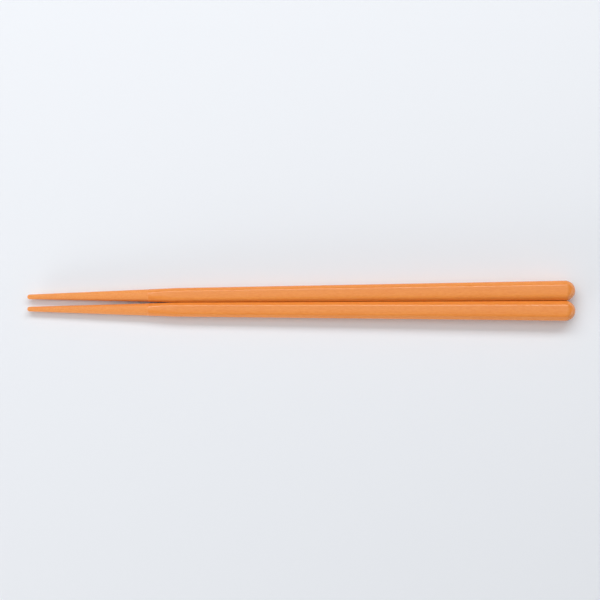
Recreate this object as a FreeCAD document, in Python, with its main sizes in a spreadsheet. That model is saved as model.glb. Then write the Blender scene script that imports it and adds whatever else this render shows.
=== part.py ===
"""A pair of moulded plastic chopsticks lying side by side, flank to flank, on a table.

Row frame, in millimetres: X runs along the pair, with the eating tips at -X and the butts at +X;
the sticks touch in the plane Y = 0; Z = 0 is the table. Each stick is one solid, drawn along its
own axis from the tip end, and then laid down on one flat of its tapered grip.
"""

import FreeCAD, Part

import math
import os

import Sketcher

SIZES = {
    "stick_length": 225.0,         # over both rounded ends
    "tip_diameter": 2.0,           # of the ball nose that picks food up
    "grain_length": 50.0,          # the round, non-slip stretch, from the tip end
    "grain_end_diameter": 5.2,
    "neck_station": 60.0,          # from the tip end to where the square grip begins
    "neck_width": 5.87,            # across the flats there
    "butt_width": 8.3,             # across the flats, where the grip's taper ends
    "neck_bevel": 1.25,            # leg of each 45 degree bevel along the grip's corners
    "butt_bevel": 1.75,
    "edge_radius": 0.8,            # softens both edges of every bevel
    "corner_run_out": 2.0,         # length in which an unbevelled corner would turn in to the dome
    "flank_gap": 0.01,             # keeps the flanks that lie together from overlapping
}
GRIP_SLOPE = "((Sizes.butt_width - Sizes.neck_width) / 2 / (Sizes.stick_length - Sizes.neck_station))"
DOME_RADIUS = f"(Sizes.butt_width / 2 / (1 + {GRIP_SLOPE}))"
DOME_CENTRE = f"(Sizes.stick_length - {DOME_RADIUS})"
CORNER_REACH = "(Sizes.butt_width / sqrt(2))"
CUT_OVERRUN = 1.0                  # how far the dome's cutting profile passes the stick's end

# From the axis to the grip's flats, if they ran on to the tip end
FLAT_AT_TIP = f"(Sizes.butt_width / 2 - Sizes.stick_length * {GRIP_SLOPE})"
STICKS = {"chopstick_back": 1, "chopstick_front": -1}    # the side of Y = 0 that each lies on

SIDES = 4                          # of the grip, each a flat with a bevel beside it
BEVEL_ANGLE = 45
START, END, CENTRE = range(1, 4)   # the points of a line or an arc
ORIGIN = (-1, START)               # of a sketch: its horizontal axis, and that axis's first point
H_AXIS = ORIGIN[0]


def fill_sheet(doc):
    sheet = doc.addObject("Spreadsheet::Sheet", "Sizes")
    for row, (name, value) in enumerate(SIZES.items(), start=1):
        sheet.set(f"A{row}", name)
        sheet.set(f"B{row}", str(value))
        sheet.setAlias(f"B{row}", name)
    doc.recompute()


def origin_feature(body, role):
    return next(f for f in body.Origin.OriginFeatures if f.Role == role)


def new_sketch(body, name, role):
    sketch = body.newObject("Sketcher::SketchObject", name)
    sketch.AttachmentSupport = [(origin_feature(body, role), "")]
    sketch.MapMode = "FlatFace"
    return sketch


def bevel_reach(end):
    """From the axis to the middle of a bevel, at the grip's neck or butt."""
    return f"(Sizes.{end}_width - Sizes.{end}_bevel) / sqrt(2)"


def number(obj, expression):
    return float(obj.evalExpression(expression))


def constrain(sketch, *constraint):
    return sketch.addConstraint(Sketcher.Constraint(*constraint))


def dimension(sketch, expression, *constraint):
    """Adds a dimension whose value is an expression."""
    index = constrain(sketch, *constraint, number(sketch, expression))
    sketch.setExpression(f"Constraints[{index}]", expression)


def outline(sketch, points):
    """Joins points by straight lines, in order, and returns the lines."""
    lines = [sketch.addGeometry(Part.LineSegment(a, b)) for a, b in zip(points, points[1:])]
    for line, after in zip(lines, lines[1:]):
        constrain(sketch, "Coincident", line, END, after, START)
    return lines


def circle(body, name, station, diameter):
    """A circle across the axis, at a distance from the tip end."""
    sketch = new_sketch(body, name, "YZ_Plane")
    sketch.setExpression("AttachmentOffset.Base.z", station)
    radius = number(sketch, diameter) / 2
    ring = sketch.addGeometry(Part.Circle(FreeCAD.Vector(), FreeCAD.Vector(0, 0, 1), radius))
    constrain(sketch, "Coincident", ring, CENTRE, *ORIGIN)
    dimension(sketch, diameter, "Diameter", ring)
    return sketch


def planing(body, name, turn, neck_reach, butt_reach):
    """A cut that leaves one long plane on the grip, turned by an angle in degrees about the axis."""
    sketch = new_sketch(body, f"{name}Profile", "XZ_Plane")
    about_axis = FreeCAD.Rotation(FreeCAD.Vector(1, 0, 0), turn)
    sketch.AttachmentOffset = FreeCAD.Placement(FreeCAD.Vector(), about_axis)
    neck, butt = number(sketch, "Sizes.neck_station"), number(sketch, "Sizes.stick_length")
    outside = number(sketch, "Sizes.butt_width")

    face, far, top, near = outline(sketch, [
        FreeCAD.Vector(neck, number(sketch, neck_reach)),
        FreeCAD.Vector(butt, number(sketch, butt_reach)),
        FreeCAD.Vector(butt, outside),
        FreeCAD.Vector(neck, outside),
        FreeCAD.Vector(neck, number(sketch, neck_reach)),
    ])
    constrain(sketch, "Coincident", near, END, face, START)
    constrain(sketch, "Vertical", far)
    constrain(sketch, "Horizontal", top)
    constrain(sketch, "Vertical", near)
    dimension(sketch, "Sizes.neck_station", "DistanceX", *ORIGIN, face, START)
    dimension(sketch, "Sizes.stick_length", "DistanceX", *ORIGIN, face, END)
    dimension(sketch, neck_reach, "DistanceY", *ORIGIN, face, START)
    dimension(sketch, butt_reach, "DistanceY", *ORIGIN, face, END)
    dimension(sketch, "Sizes.butt_width", "DistanceY", *ORIGIN, top, START)

    pocket = body.newObject("PartDesign::Pocket", name)
    pocket.Profile = sketch
    pocket.SideType = "Symmetric"
    pocket.Type = "ThroughAll"
    return pocket


def grip(body):
    """The long even taper: a round blank planed to a square that has bevelled, rounded corners."""
    blank = body.newObject("PartDesign::Pad", "Blank")
    blank.Profile = circle(body, "BlankEnd", "Sizes.neck_station", f"2 * {CORNER_REACH}")
    blank.setExpression("Length", "Sizes.stick_length - Sizes.neck_station")
    cuts = [
        planing(body, "Flat", 0, "Sizes.neck_width / 2", "Sizes.butt_width / 2"),
        planing(body, "Bevel", BEVEL_ANGLE, bevel_reach("neck"), bevel_reach("butt")),
    ]
    pattern = body.newObject("PartDesign::PolarPattern", "FourSides")
    pattern.Originals = cuts
    pattern.Axis = (origin_feature(body, "X_Axis"), [""])
    pattern.Angle = 360
    pattern.Occurrences = SIDES
    body.Tip = pattern
    body.Document.recompute()

    half_length = number(body, "(Sizes.stick_length - Sizes.neck_station) / 2")
    edges = enumerate(pattern.Shape.Edges, start=1)
    long_edges = [f"Edge{i}" for i, edge in edges if edge.BoundBox.XLength > half_length]
    rounded = body.newObject("PartDesign::Fillet", "RoundedEdges")
    rounded.Base = (pattern, long_edges)
    rounded.setExpression("Radius", "Sizes.edge_radius")
    body.Document.recompute()
    return rounded


def neck(body, square):
    """From the square start of the grip down to the circle where the grain ends."""
    faces = square.Shape.Faces
    first = min(range(len(faces)), key=lambda i: faces[i].CenterOfMass.x)
    loft = body.newObject("PartDesign::AdditiveLoft", "Neck")
    loft.Profile = (square, [f"Face{first + 1}"])
    loft.Sections = [circle(body, "GrainEnd", "Sizes.grain_length", "Sizes.grain_end_diameter")]
    loft.Ruled = True


def tip(body):
    """The slender end: a long cone with a ball nose, turned about the axis."""
    sketch = new_sketch(body, "TipProfile", "XZ_Plane")
    radius = number(sketch, "Sizes.tip_diameter / 2")
    length = number(sketch, "Sizes.grain_length")
    end_radius = number(sketch, "Sizes.grain_end_diameter / 2")

    ball = Part.Circle(FreeCAD.Vector(radius, 0), FreeCAD.Vector(0, 0, 1), radius)
    nose = sketch.addGeometry(Part.ArcOfCircle(ball, math.pi / 2, math.pi))
    side, end, axis = outline(sketch, [
        FreeCAD.Vector(radius, radius),
        FreeCAD.Vector(length, end_radius),
        FreeCAD.Vector(length, 0),
        FreeCAD.Vector(),
    ])
    constrain(sketch, "Tangent", nose, START, side, START)
    constrain(sketch, "Coincident", axis, END, nose, END)
    constrain(sketch, "Coincident", nose, END, *ORIGIN)
    constrain(sketch, "PointOnObject", nose, CENTRE, H_AXIS)
    constrain(sketch, "Horizontal", axis)
    constrain(sketch, "Vertical", end)
    dimension(sketch, "Sizes.tip_diameter / 2", "Radius", nose)
    dimension(sketch, "Sizes.grain_length", "DistanceX", *ORIGIN, end, END)
    dimension(sketch, "Sizes.grain_end_diameter / 2", "DistanceY", end, END, end, START)

    turned = body.newObject("PartDesign::Revolution", "Tip")
    turned.Profile = sketch
    turned.ReferenceAxis = (sketch, ["H_Axis"])
    turned.Angle = 360


def dome(body):
    """Cuts off all that lies outside a half ball, and fades the grip's corners into it."""
    sketch = new_sketch(body, "DomeProfile", "XZ_Plane")
    radius, centre = number(sketch, DOME_RADIUS), number(sketch, DOME_CENTRE)
    end, outside = number(sketch, "Sizes.stick_length"), number(sketch, CORNER_REACH)
    run_out = number(sketch, "Sizes.corner_run_out")

    ball = Part.Circle(FreeCAD.Vector(centre, 0), FreeCAD.Vector(0, 0, 1), radius)
    arc = sketch.addGeometry(Part.ArcOfCircle(ball, 0, math.pi / 2))
    shoulder, top, back, axis = outline(sketch, [
        FreeCAD.Vector(centre, radius),
        FreeCAD.Vector(centre - run_out, outside),
        FreeCAD.Vector(end + CUT_OVERRUN, outside),
        FreeCAD.Vector(end + CUT_OVERRUN, 0),
        FreeCAD.Vector(end, 0),
    ])
    constrain(sketch, "Coincident", arc, END, shoulder, START)
    constrain(sketch, "Coincident", arc, START, axis, END)
    constrain(sketch, "PointOnObject", arc, CENTRE, H_AXIS)
    constrain(sketch, "PointOnObject", arc, START, H_AXIS)
    constrain(sketch, "Vertical", arc, CENTRE, arc, END)
    constrain(sketch, "Horizontal", top)
    constrain(sketch, "Vertical", back)
    constrain(sketch, "Horizontal", axis)
    constrain(sketch, "DistanceX", arc, START, back, END, CUT_OVERRUN)
    dimension(sketch, DOME_RADIUS, "Radius", arc)
    dimension(sketch, DOME_CENTRE, "DistanceX", *ORIGIN, arc, CENTRE)
    dimension(sketch, "Sizes.corner_run_out", "DistanceX", shoulder, END, shoulder, START)
    dimension(sketch, CORNER_REACH, "DistanceY", *ORIGIN, top, START)

    cut = body.newObject("PartDesign::Groove", "Dome")
    cut.Profile = sketch
    cut.ReferenceAxis = (sketch, ["H_Axis"])
    cut.Angle = 360


def chopstick(doc, name, side):
    """One stick, laid on a flat of its grip, with another flat against the plane Y = 0."""
    body = doc.addObject("PartDesign::Body", name)
    body.Label = name
    square = grip(body)
    neck(body, square)
    tip(body)
    dome(body)
    lift = f"{FLAT_AT_TIP} * cos(atan({GRIP_SLOPE}))"
    body.setExpression("Placement.Rotation.Yaw", f"{side} * atan({GRIP_SLOPE})")
    body.setExpression("Placement.Rotation.Pitch", f"-atan({GRIP_SLOPE})")
    body.setExpression("Placement.Base.x", "-Sizes.stick_length / 2")
    body.setExpression("Placement.Base.y", f"{side} * ({lift} + Sizes.flank_gap / 2)")
    body.setExpression("Placement.Base.z", lift)
    return body


def check(doc, bodies):
    for obj in doc.Objects:
        if "Invalid" in obj.State or "Error" in obj.State:
            raise RuntimeError(f"{obj.Name} failed: {obj.State}")
    for body in bodies:
        shape = body.Shape
        if shape.isNull() or not shape.isValid() or len(shape.Solids) != 1:
            raise RuntimeError(f"{body.Label} is not one valid solid")


def main():
    doc = FreeCAD.newDocument("chopsticks")
    fill_sheet(doc)
    bodies = [chopstick(doc, name, side) for name, side in STICKS.items()]
    doc.recompute()
    check(doc, bodies)
    os.makedirs("parts", exist_ok=True)
    for body in bodies:
        body.Shape.exportStep(os.path.join("parts", f"{body.Label}.step"))
        box = body.Shape.BoundBox
        print(f"{body.Label}: {body.Shape.Volume:.1f} mm3, {box}")


main()
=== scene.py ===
"""A pair of moulded plastic chopsticks lying side by side, and the studio that shows them.

Everything is in metres in the CAD model's frame: X runs along the pair, with the eating tips at -X
and the butts at +X, the sticks touch in the plane Y = 0, and Z = 0 is the table. One stick is
modelled along its own axis from the tip end, copied, and each copy laid on a flat of its grip.
"""

import math

import bmesh
import bpy
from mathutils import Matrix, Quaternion, Vector


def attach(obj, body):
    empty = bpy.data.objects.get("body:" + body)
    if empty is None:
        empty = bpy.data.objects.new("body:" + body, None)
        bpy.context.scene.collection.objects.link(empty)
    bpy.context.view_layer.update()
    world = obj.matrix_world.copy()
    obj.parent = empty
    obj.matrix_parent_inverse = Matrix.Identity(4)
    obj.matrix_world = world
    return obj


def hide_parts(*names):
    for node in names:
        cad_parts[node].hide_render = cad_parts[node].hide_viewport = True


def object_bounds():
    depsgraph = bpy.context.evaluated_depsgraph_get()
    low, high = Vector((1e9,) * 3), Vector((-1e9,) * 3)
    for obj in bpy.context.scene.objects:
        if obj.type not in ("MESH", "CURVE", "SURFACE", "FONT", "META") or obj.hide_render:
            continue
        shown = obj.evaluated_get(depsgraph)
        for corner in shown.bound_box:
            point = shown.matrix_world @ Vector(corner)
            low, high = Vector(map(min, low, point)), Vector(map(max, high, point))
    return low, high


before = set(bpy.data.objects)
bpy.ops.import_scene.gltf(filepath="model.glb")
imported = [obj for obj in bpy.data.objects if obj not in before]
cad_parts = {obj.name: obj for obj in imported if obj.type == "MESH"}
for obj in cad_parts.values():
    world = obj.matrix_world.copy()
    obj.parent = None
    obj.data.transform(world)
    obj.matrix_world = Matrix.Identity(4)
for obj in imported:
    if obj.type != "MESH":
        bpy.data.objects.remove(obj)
CAD_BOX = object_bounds()

bl_info = {
    "name": "Pair of plastic chopsticks",
    "version": (1, 0, 0),
    "blender": (4, 5, 0),
    "location": "3D View > Sidebar > Chopsticks",
    "description": "Models a pair of plastic chopsticks with grained tips, and a plain studio",
    "category": "Add Mesh",
}

MM = 0.001
EPSILON = 1e-6                     # two stations nearer than this are the same
MERGE_DISTANCE = EPSILON / 10      # two vertices nearer than this are one
STICKS = {"chopstick_back": 1, "chopstick_front": -1}    # the side of Y = 0 that each lies on
FLANK_GAP = 0.01 * MM              # between the two grips
RIM = 0.02 * MM                    # how far the step's upper edge is rounded
CREASE_ANGLE = math.radians(40)    # a sharper edge stays crisp, as at the grain's step

# How finely the mesh is divided
EDGE_STEPS = 4                     # round each softened edge of the grip
FLAT_CUTS = 17                     # across each flat
BEVEL_CUTS = 7                     # across each bevel
NOSE_STEPS = 12                    # from the tip's cone to its end
DOME_STEPS = 22                    # from the grip to the pole of the butt's dome
GRIP_END = 4 * MM                  # at each end of the grip, where the rings lie closer together
GRIP_CUTS = (7, 60, 15)            # along the end at the neck, the length between, the end at the butt
NECK_CUTS = 19                     # from the grain's end to the square grip
TIP_CUTS = 99                      # along each half of the grained tip

# How one form runs into the next
DOME_FADE = 30                     # a higher number carries the grip's edges further up the dome
NECK_BLEND = 2.5 * MM              # each way from the neck, where its break is smoothed
NECK_PASSES = 8                    # of smoothing there

# Patterns in the resin and on the floor. A stretch under 1 draws one out along the stick
DRIFT_WIDTH = 5 * MM               # of the slow changes in the melt's colour
DRIFT_STRETCH = (0.12, 1, 1)
STREAK_WIDTH = 0.5 * MM            # real flow streaks are near 0.1 mm wide, too fine to show
STREAK_STRETCH = (0.25, 1, 1)
STREAK_SHARE = 0.75                # of the variation in colour, the rest being the slow changes
MARK_PITCH = 0.4 * MM              # real polishing marks are near 0.05 mm apart, too fine to show
MARK_STRETCH = (0.08, 1, 1)
PIT_PITCH = 0.4 * MM               # the real pits are near 0.1 mm wide, too fine to show
STIPPLE_PITCH = 1.5 * MM           # from crest to crest of what a paint roller leaves
NOISE_RANGE = {"From Min": 0.3, "From Max": 0.7}        # which holds most of a noise's values
# The crests take a paler colour: partly the grain's own, partly a painted sheen of the light it scatters
CREST_RANGE = {"From Min": 0.42, "From Max": 0.75}      # from no crest of the grain to a full one

# The resin's gloss
RESIN_IOR = 1.58
GLOSS_SPREAD = 0.05                # how far the grip's roughness varies, each way
GRAIN_SPREAD = 0.06                # how far the tip's roughness varies, each way

# The studio
FLOOR_SIZE = 8                     # in metres, so that its edges are out of sight
AIM = Vector((-0.4 * MM, 0.75 * MM))    # where the camera looks, from the middle of the pair
# Each softbox's place, width and height in metres, and its power in watts
SOFTBOXES = {
    "overhead softbox": ((0, 0.2, 0.98), 1.6, 0.5, 2.3),
    "key softbox": ((0, 0.66, 0.75), 1.6, 0.3, 7.8),
    "left softbox": ((-0.71, 0, 0.71), 0.6, 1.2, 1.7),
    "low left softbox": ((-0.7, -0.7, 0.14), 0.6, 0.25, 5),
    "low right softbox": ((0.96, -0.26, 0.14), 0.6, 0.25, 1),
    "near strip": ((0, -1, 0.13), 1.6, 0.26, 0.8),
}


def linear(hex_colour):
    """An sRGB colour such as "e07b39" as linear red, green and blue."""
    channels = [int(hex_colour[i:i + 2], 16) / 255 for i in (0, 2, 4)]
    return [c / 12.92 if c <= 0.04045 else ((c + 0.055) / 1.055) ** 2.4 for c in channels]


def length(name, description, millimetres):
    return bpy.props.FloatProperty(
        name=name, description=description, default=millimetres * MM, precision=5, unit="LENGTH"
    )


def colour(name, description, hex_colour):
    return bpy.props.FloatVectorProperty(
        name=name, description=description, default=linear(hex_colour), subtype="COLOR"
    )


class ChopstickSizes(bpy.types.PropertyGroup):
    stick_length: length("Length", "Over both rounded ends", 225)
    tip_diameter: length("Tip diameter", "Of the ball nose that picks food up", 2)
    grain_length: length("Grain length", "The round, non-slip stretch, from the tip end", 50)
    grain_end_diameter: length("Grain end diameter", "Of the grip where the grain ends", 5.2)
    grain_step: length("Grain step", "How much deeper the grained stretch lies than the grip", 0.05)
    grain_depth: length("Grain depth", "From the grain's crests to its pits", 0.06)
    grain_pitch: length("Grain pitch", "From one pit of the grain to the next", 0.5)
    neck_station: length("Neck", "From the tip end to where the square grip begins", 60)
    neck_width: length("Neck width", "Across the flats where the grip begins", 5.87)
    butt_width: length("Butt width", "Across the flats where the grip's taper ends", 8.3)
    neck_bevel: length("Neck bevel", "Leg of each 45 degree bevel where the grip begins", 1.25)
    crown: bpy.props.FloatProperty(
        name="Crown", description="How far the flats bulge, from 0, flat, to 1, round",
        default=0.12, min=0, max=1,
    )
    edge_radius: length("Edge radius", "Of both edges of a bevel, where the grip begins", 0.8)


class ResinFinish(bpy.types.PropertyGroup):
    orange: colour("Orange", "Of the resin", "f09c48")
    deep_orange: colour("Deep orange", "Of the resin where it is richer", "da7527")
    # Paler than the resin: partly the colour of the grain's crests, partly a painted sheen of the light
    # they scatter
    grain_crests_and_sheen: colour("Grain crests", "Of the crests of the tip's grain, which scatter light", "ee9e53")
    gloss_roughness: bpy.props.FloatProperty(
        name="Grip roughness", description="Of the polished grip", default=0.2, min=0, max=1
    )
    grain_roughness: bpy.props.FloatProperty(
        name="Tip roughness", description="Of the grained tip", default=0.62, min=0, max=1
    )


class StudioSettings(bpy.types.PropertyGroup):
    floor_colour: colour("Floor", "Colour of the floor", "e6e9ee")
    fill: bpy.props.FloatProperty(
        name="Fill", description="Strength of the light from all round", default=0.28, min=0
    )
    elevation: bpy.props.FloatProperty(
        name="Elevation", description="Of the camera above the table",
        default=math.radians(88.5), subtype="ANGLE",
    )
    roll: bpy.props.FloatProperty(
        name="Roll", description="Of the camera about its line of sight",
        default=math.radians(-0.23), subtype="ANGLE",
    )
    lens: bpy.props.FloatProperty(
        name="Lens", description="Focal length of the camera in millimetres", default=110, min=1
    )
    field: length("Field", "Width of the table that the camera sees", 246.1)


# Selecting and shaping in edit mode

def select(stick, kind, chosen):
    """Selects the vertices, edges or faces for which chosen is true, and nothing else."""
    bpy.ops.mesh.select_mode(type={"verts": "VERT", "edges": "EDGE", "faces": "FACE"}[kind])
    bpy.ops.mesh.select_all(action="DESELECT")
    mesh = bmesh.from_edit_mesh(stick.data)
    for part in getattr(mesh, kind):
        if chosen(part):
            part.select_set(True)
    mesh.select_flush_mode()
    bmesh.update_edit_mesh(stick.data)


def edge_stations(edge):
    return sorted(vertex.co.x for vertex in edge.verts)


def select_end(stick, station):
    """Selects the face that closes the stick at a station."""
    select(stick, "faces", lambda face: all(abs(v.co.x - station) < EPSILON for v in face.verts))


def draw_out(profile):
    """Extrudes the selected end face through a profile of (station, radius) points."""
    for (here, radius), (there, new_radius) in zip(profile, profile[1:]):
        bpy.ops.mesh.extrude_region_move(TRANSFORM_OT_translate={"value": (there - here, 0, 0)})
        share = new_radius / radius
        bpy.ops.transform.resize(value=(1, share, share), center_override=(there, 0, 0))


def close_end(rise):
    """Draws the selected end face out to a point on the axis."""
    bpy.ops.mesh.extrude_region_move(TRANSFORM_OT_translate={"value": (rise, 0, 0)})
    bpy.ops.mesh.merge(type="CENTER")


def selected_half_width(stick):
    """From the axis to the outermost of the selected vertices, measured along Y."""
    return max(vertex.co.y for vertex in bmesh.from_edit_mesh(stick.data).verts if vertex.select)


def ball_end(centre, radius, steps, side):
    """The profile of a ball from its widest ring to a ring close to its pole."""
    turns = [math.pi / 2 * step / steps for step in range(steps)]
    return [(centre + side * radius * math.sin(a), radius * math.cos(a)) for a in turns]


def divide(stick, low, high, cuts):
    """Cuts the stretch between two rings into even ones."""
    def runs_across(edge):
        start, end = edge_stations(edge)
        return abs(start - low) < EPSILON and abs(end - high) < EPSILON

    select(stick, "edges", runs_across)
    bpy.ops.mesh.subdivide(number_cuts=cuts)


def soften(stick, low, high, passes):
    """Smooths the rings between two stations across the axis, and leaves them where they are along it."""
    select(stick, "verts", lambda vertex: low < vertex.co.x < high)
    bpy.ops.mesh.vertices_smooth(factor=0.5, repeat=passes, xaxis=False)


# The parts of one stick

def neck_section(sizes):
    """The square at the neck, facing along the stick, with its corners bevelled and rounded."""
    bpy.ops.mesh.primitive_plane_add(
        size=sizes.neck_width, location=(sizes.neck_station, 0, 0), rotation=(0, math.pi / 2, 0)
    )
    bpy.ops.object.transform_apply(location=True, rotation=True, scale=True)
    stick = bpy.context.object
    bpy.ops.object.mode_set(mode="EDIT")
    bpy.ops.mesh.select_all(action="SELECT")
    bpy.ops.mesh.bevel(offset=sizes.neck_bevel, affect="VERTICES")
    bpy.ops.mesh.select_all(action="SELECT")
    rounding = sizes.edge_radius * math.tan(math.pi / 8)
    bpy.ops.mesh.bevel(offset=rounding, segments=EDGE_STEPS, affect="VERTICES")

    bpy.ops.mesh.select_all(action="SELECT")
    bpy.ops.mesh.delete(type="ONLY_FACE")
    bevel = sizes.neck_bevel * math.sqrt(2)
    select(stick, "edges", lambda edge: edge.calc_length() > bevel)
    bpy.ops.mesh.subdivide(number_cuts=FLAT_CUTS)
    select(stick, "edges", lambda edge: sizes.edge_radius < edge.calc_length() < bevel)
    bpy.ops.mesh.subdivide(number_cuts=BEVEL_CUTS)
    bpy.ops.mesh.select_all(action="SELECT")
    bpy.ops.mesh.edge_face_add()
    bpy.ops.transform.tosphere(value=sizes.crown)
    share = sizes.neck_width / 2 / selected_half_width(stick)
    bpy.ops.transform.resize(value=(1, share, share), center_override=(sizes.neck_station, 0, 0))
    return stick


def grip_slope(sizes):
    """How far a flat of the grip moves from the axis for each unit along it."""
    return (sizes.butt_width - sizes.neck_width) / 2 / (sizes.stick_length - sizes.neck_station)


def half_width(sizes, station):
    """From the axis to a flat of the grip."""
    return sizes.neck_width / 2 + grip_slope(sizes) * (station - sizes.neck_station)


def draw_grip(stick, sizes):
    """The long taper from the neck to the butt, and the dome that ends it."""
    radius = sizes.butt_width / 2 / (1 + grip_slope(sizes))
    centre = sizes.stick_length - radius
    stations = [sizes.neck_station, sizes.neck_station + GRIP_END, centre - GRIP_END, centre]
    bpy.ops.mesh.select_mode(type="FACE")
    bpy.ops.mesh.select_all(action="SELECT")
    draw_out([(station, half_width(sizes, station)) for station in stations])
    draw_dome(stick, ball_end(centre, radius, DOME_STEPS, 1))
    close_end(radius * (1 - math.cos(math.pi / 2 / DOME_STEPS)))
    for low, high, cuts in zip(stations, stations[1:], GRIP_CUTS):
        divide(stick, low, high, cuts)


def draw_dome(stick, profile):
    """Draws the selected end face over half a ball, in which the flats and bevels fade away."""
    for step, ((here, _), (there, half)) in enumerate(zip(profile, profile[1:]), 1):
        bpy.ops.mesh.extrude_region_move(TRANSFORM_OT_translate={"value": (there - here, 0, 0)})
        bpy.ops.transform.tosphere(value=step / DOME_FADE)
        share = half / selected_half_width(stick)
        bpy.ops.transform.resize(value=(1, share, share), center_override=(there, 0, 0))


def draw_tip(stick, sizes):
    """From the square neck to round, down the small step into the grain, and on to the nose."""
    rim = sizes.grain_length + RIM
    end_radius = sizes.grain_end_diameter / 2
    nose_radius = sizes.tip_diameter / 2
    nose = ball_end(nose_radius, nose_radius, NOSE_STEPS, -1)
    select_end(stick, sizes.neck_station)
    bpy.ops.mesh.extrude_region_move(
        TRANSFORM_OT_translate={"value": (rim - sizes.neck_station, 0, 0)}
    )
    bpy.ops.transform.tosphere(value=1)
    share = end_radius / selected_half_width(stick)
    bpy.ops.transform.resize(value=(1, share, share), center_override=(rim, 0, 0))
    root_radius = end_radius - sizes.grain_step
    middle = (nose_radius + sizes.grain_length) / 2
    draw_out([
        (rim, end_radius),
        (sizes.grain_length, end_radius - RIM),
        (sizes.grain_length, root_radius),
        (middle, (nose_radius + root_radius) / 2),
        *nose,
    ])
    close_end(-nose[-1][0])
    divide(stick, rim, sizes.neck_station, NECK_CUTS)
    divide(stick, middle, sizes.grain_length, TIP_CUTS)
    divide(stick, nose_radius, middle, TIP_CUTS)
    soften(stick, sizes.neck_station - NECK_BLEND, sizes.neck_station + NECK_BLEND, NECK_PASSES)


def face_outwards():
    bpy.ops.mesh.select_all(action="SELECT")
    bpy.ops.mesh.remove_doubles(threshold=MERGE_DISTANCE)
    bpy.ops.mesh.normals_make_consistent(inside=False)
    bpy.ops.object.mode_set(mode="OBJECT")


def make_active(*pieces):
    """Selects only these pieces, the last of them as the active one."""
    bpy.ops.object.select_all(action="DESELECT")
    for piece in pieces:
        piece.select_set(True)
        bpy.context.view_layer.objects.active = piece


def sink_grain(stick, sizes):
    """Sinks a fine uneven grain into the tip, which is what keeps food from slipping.

    Its amount is set by the vertex group, so the step at its end and the grip stay smooth.
    """
    grain = bpy.data.textures.new("tip grain", "CLOUDS")
    grain.noise_scale = sizes.grain_pitch
    grain.noise_depth = 1
    bpy.ops.object.modifier_add(type="DISPLACE")
    sink = stick.modifiers[-1]
    sink.texture = grain
    sink.strength = sizes.grain_depth
    sink.mid_level = 1
    grained = stick.vertex_groups.new(name="grain")
    end = sizes.grain_length - EPSILON
    grained.add([v.index for v in stick.data.vertices if v.co.x < end], 1, "ADD")
    sink.vertex_group = grained.name
    bpy.ops.object.modifier_apply(modifier=sink.name)


def add_finish(stick, sizes, polished, grained):
    """Polished resin all over, apart from the tip's faces, which are grained."""
    stick.data.materials.append(polished)
    stick.data.materials.append(grained)
    bpy.ops.object.mode_set(mode="EDIT")
    # The step's face lies at the grain's end, and the rim's faces half of RIM further on
    end = sizes.grain_length + RIM / 4
    select(stick, "faces", lambda face: face.calc_center_median().x < end)
    stick.active_material_index = 1
    bpy.ops.object.material_slot_assign()
    bpy.ops.object.mode_set(mode="OBJECT")
    bpy.ops.object.shade_smooth_by_angle(angle=CREASE_ANGLE)


def lay_down(stick, sizes, side):
    """Lays a stick on a flat of its grip, with another flat against the plane Y = 0.

    The front stick has a quarter turn more, which shows another side of the same grain.
    """
    slope = grip_slope(sizes)
    tilt = math.atan(slope)
    lift = (sizes.butt_width / 2 - slope * sizes.stick_length) * math.cos(tilt)
    stick.rotation_euler = (math.pi / 4 * (1 - side), -tilt, side * tilt)
    stick.location = (CAD_BOX[0].x, side * (lift + FLANK_GAP / 2), CAD_BOX[0].z + lift)
    make_active(stick)
    bpy.ops.object.transform_apply(location=True, rotation=True, scale=True)


# Materials

def add(tree, kind, inputs, **settings):
    """Adds a shader node, sets it, and gives its inputs their values or the sockets that feed them.

    An input goes by its name, or by its number on a Mix node, where several have one name.
    """
    node = tree.nodes.new(f"ShaderNode{kind}")
    for name, value in settings.items():
        setattr(node, name, value)
    for name, value in inputs.items():
        if isinstance(value, bpy.types.NodeSocket):
            tree.links.new(value, node.inputs[name])
        else:
            node.inputs[name].default_value = value
    return node


def new_material(name):
    """A material whose tree holds only its output, and that output."""
    material = bpy.data.materials.new(name)
    material.use_nodes = True
    material.node_tree.nodes.clear()
    return material, material.node_tree, material.node_tree.nodes.new("ShaderNodeOutputMaterial")


def resin_colour(tree, finish, place):
    """The colour of the melt, which drifts slowly along the stick and varies in fine flow streaks.

    The streaks are drawn coarser than they are, so that they show.
    """
    slow_flow = add(tree, "Mapping", {"Vector": place, "Scale": DRIFT_STRETCH})
    drift = add(tree, "TexNoise", {
        "Vector": slow_flow.outputs["Vector"], "Scale": 1 / DRIFT_WIDTH, "Detail": 3, "Roughness": 0.6,
    })
    fine_flow = add(tree, "Mapping", {"Vector": place, "Scale": STREAK_STRETCH})
    streaks = add(tree, "TexNoise", {
        "Vector": fine_flow.outputs["Vector"], "Scale": 1 / STREAK_WIDTH, "Detail": 2, "Roughness": 0.6,
    })
    both = add(tree, "Mix", {0: STREAK_SHARE, 2: drift.outputs["Fac"], 3: streaks.outputs["Fac"]})
    mixed = add(tree, "Mix", {
        0: both.outputs[0], 6: (*finish.orange, 1), 7: (*finish.deep_orange, 1),
    }, data_type="RGBA")
    return mixed.outputs[2]


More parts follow.
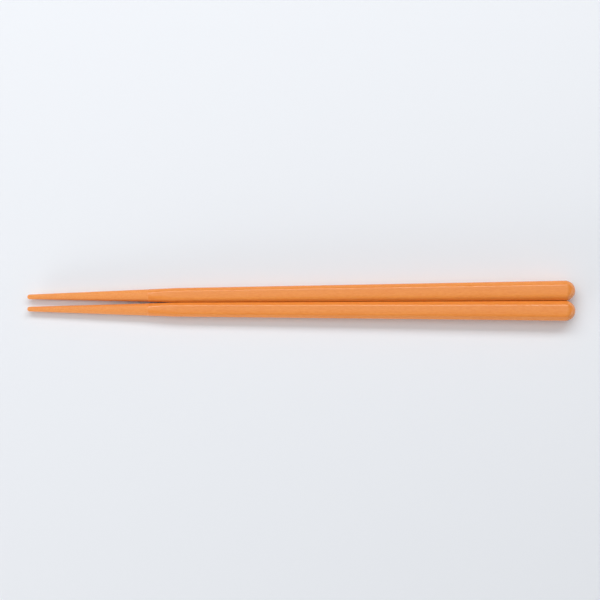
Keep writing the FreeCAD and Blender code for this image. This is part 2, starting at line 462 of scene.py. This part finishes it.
def polished_resin(finish):
    """Moulded resin from a polished die: an even satin gloss that draws thin soft lines of light
    along the edges, barely broken by the die's lengthwise polishing marks.

    The marks are drawn coarser than they are, so that they show.
    """
    material, tree, output = new_material("satin moulded resin")
    place = add(tree, "TexCoord", {}).outputs["Object"]
    along_grip = add(tree, "Mapping", {"Vector": place, "Scale": MARK_STRETCH})
    marks = add(tree, "TexNoise", {
        "Vector": along_grip.outputs["Vector"], "Scale": 1 / MARK_PITCH, "Detail": 3,
    })
    roughness = add(tree, "MapRange", {
        "Value": marks.outputs["Fac"], **NOISE_RANGE,
        "To Min": finish.gloss_roughness - GLOSS_SPREAD,
        "To Max": finish.gloss_roughness + GLOSS_SPREAD,
    })
    relief = add(tree, "Bump", {
        "Height": marks.outputs["Fac"], "Strength": 0.5, "Distance": 0.02 * MM,
    })
    surface = add(tree, "BsdfPrincipled", {
        "Base Color": resin_colour(tree, finish, place),
        "Roughness": roughness.outputs["Result"],
        "Normal": relief.outputs["Normal"],
        "IOR": RESIN_IOR,
    })
    tree.links.new(surface.outputs["BSDF"], output.inputs["Surface"])
    return material


def grained_resin(finish):
    """The same resin from a spark-eroded die: a dry, matt, finely pitted skin with no clear
    highlight, a little paler than the polished grip.

    The pits are drawn coarser than they are, so that they show.
    """
    material, tree, output = new_material("spark-grained moulded resin")
    place = add(tree, "TexCoord", {}).outputs["Object"]
    pits = add(tree, "TexNoise", {"Vector": place, "Scale": 1 / PIT_PITCH, "Detail": 2})
    crests = add(tree, "MapRange", {"Value": pits.outputs["Fac"], **CREST_RANGE})
    roughness = add(tree, "MapRange", {
        "Value": pits.outputs["Fac"], **NOISE_RANGE,
        "To Min": finish.grain_roughness - GRAIN_SPREAD,
        "To Max": finish.grain_roughness + GRAIN_SPREAD,
    })
    relief = add(tree, "Bump", {
        "Height": pits.outputs["Fac"], "Strength": 1, "Distance": 0.06 * MM,
    })
    # Painted sheen: the crests are mixed towards a paler colour, partly the grain's own and partly the
    # light that the matt skin scatters
    crest_and_sheen_colour = add(tree, "Mix", {
        0: crests.outputs["Result"], 6: resin_colour(tree, finish, place), 7: (*finish.grain_crests_and_sheen, 1),
    }, data_type="RGBA")
    surface = add(tree, "BsdfPrincipled", {
        "Base Color": crest_and_sheen_colour.outputs[2],
        "Roughness": roughness.outputs["Result"],
        "Normal": relief.outputs["Normal"],
        "IOR": RESIN_IOR,
    })
    tree.links.new(surface.outputs["BSDF"], output.inputs["Surface"])
    return material


def painted_board(floor_colour):
    """A sheet of board rolled with matt emulsion: pale, and free of any clear reflection."""
    material, tree, output = new_material("matt painted board")
    place = add(tree, "TexCoord", {}).outputs["Object"]
    stipple = add(tree, "TexNoise", {"Vector": place, "Scale": 1 / STIPPLE_PITCH, "Detail": 2})
    relief = add(tree, "Bump", {
        "Height": stipple.outputs["Fac"], "Strength": 0.1, "Distance": 0.02 * MM,
    })
    surface = add(tree, "BsdfPrincipled", {
        "Base Color": (*floor_colour, 1), "Roughness": 0.9, "Normal": relief.outputs["Normal"],
        "Specular IOR Level": 0.2,
    })
    tree.links.new(surface.outputs["BSDF"], output.inputs["Surface"])
    return material


# The studio

def softbox(name, place, width, height, watts):
    """A rectangular lamp at a place, turned to the middle of the table."""
    bpy.ops.object.light_add(type="AREA", location=place)
    lamp = bpy.context.object
    lamp.name = name
    lamp.data.shape = "RECTANGLE"
    lamp.data.size = width
    lamp.data.size_y = height
    lamp.data.energy = watts
    lamp.rotation_euler = Vector(place).to_track_quat("Z", "Y").to_euler()


def set_camera(studio):
    """Looks almost straight down on the pair."""
    middle = Vector((*AIM, (CAD_BOX[0].z + CAD_BOX[1].z) / 2))
    back = Vector((0, -math.cos(studio.elevation), math.sin(studio.elevation)))
    bpy.ops.object.camera_add()
    camera = bpy.context.object
    camera.data.lens = studio.lens
    distance = studio.field * studio.lens / camera.data.sensor_width
    camera.location = middle + back * distance
    turn = Quaternion(back, studio.roll)
    camera.rotation_euler = (turn @ (-back).to_track_quat("-Z", "Y")).to_euler()
    bpy.context.scene.camera = camera


class MESH_OT_add_chopsticks(bpy.types.Operator):
    """Models one chopstick, copies it, and lays the two side by side"""

    bl_idname = "mesh.add_chopsticks"
    bl_label = "Add Chopsticks"

    def execute(self, context):
        sizes = context.scene.chopstick_sizes
        finish = context.scene.resin_finish
        bpy.ops.object.select_all(action="DESELECT")
        stick = neck_section(sizes)
        draw_grip(stick, sizes)
        draw_tip(stick, sizes)
        face_outwards()
        sink_grain(stick, sizes)
        add_finish(stick, sizes, polished_resin(finish), grained_resin(finish))
        bpy.ops.object.duplicate(linked=False)
        pair = [stick, context.object]
        for (node, side), piece in zip(STICKS.items(), pair):
            piece.name = f"{node}_moulded"
            lay_down(piece, sizes, side)
            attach(piece, "root")
            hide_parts(node)
        return {"FINISHED"}


class SCENE_OT_set_studio(bpy.types.Operator):
    """Puts the floor, the lamps and the camera round the chopsticks"""

    bl_idname = "scene.set_studio"
    bl_label = "Set Studio"

    def execute(self, context):
        studio = context.scene.studio_settings
        bpy.ops.object.select_all(action="DESELECT")
        bpy.ops.mesh.primitive_plane_add(size=FLOOR_SIZE)
        floor = context.object
        floor.name = "floor"
        floor.data.materials.append(painted_board(studio.floor_colour))

        for name, (place, width, height, watts) in SOFTBOXES.items():
            softbox(name, place, width, height, watts)

        world = bpy.data.worlds.new("studio air")
        world.use_nodes = True
        background = world.node_tree.nodes["Background"]
        background.inputs["Color"].default_value = (1, 1, 1, 1)
        background.inputs["Strength"].default_value = studio.fill
        context.scene.world = world
        context.scene.view_settings.view_transform = "Standard"
        set_camera(studio)
        return {"FINISHED"}


class VIEW3D_PT_chopsticks(bpy.types.Panel):
    """Lists the sizes and finishes, and the steps that use them"""

    bl_label = "Chopsticks"
    bl_space_type = "VIEW_3D"
    bl_region_type = "UI"
    bl_category = "Chopsticks"

    def draw(self, context):
        # The button that follows each group of settings, where one does
        steps = {
            "chopstick_sizes": None,
            "resin_finish": MESH_OT_add_chopsticks.bl_idname,
            "studio_settings": SCENE_OT_set_studio.bl_idname,
        }
        for group, step in steps.items():
            settings = getattr(context.scene, group)
            for name in settings.__annotations__:
                self.layout.prop(settings, name)
            if step:
                self.layout.operator(step)


GROUPS = {
    "chopstick_sizes": ChopstickSizes,
    "resin_finish": ResinFinish,
    "studio_settings": StudioSettings,
}
CLASSES = [*GROUPS.values(), MESH_OT_add_chopsticks, SCENE_OT_set_studio, VIEW3D_PT_chopsticks]


def register():
    for part in CLASSES:
        bpy.utils.register_class(part)
    for name, group in GROUPS.items():
        setattr(bpy.types.Scene, name, bpy.props.PointerProperty(type=group))


def unregister():
    for name in GROUPS:
        delattr(bpy.types.Scene, name)
    for part in reversed(CLASSES):
        bpy.utils.unregister_class(part)


def main():
    register()
    bpy.ops.mesh.add_chopsticks()
    bpy.ops.scene.set_studio()


if __name__ == "__main__":
    main()
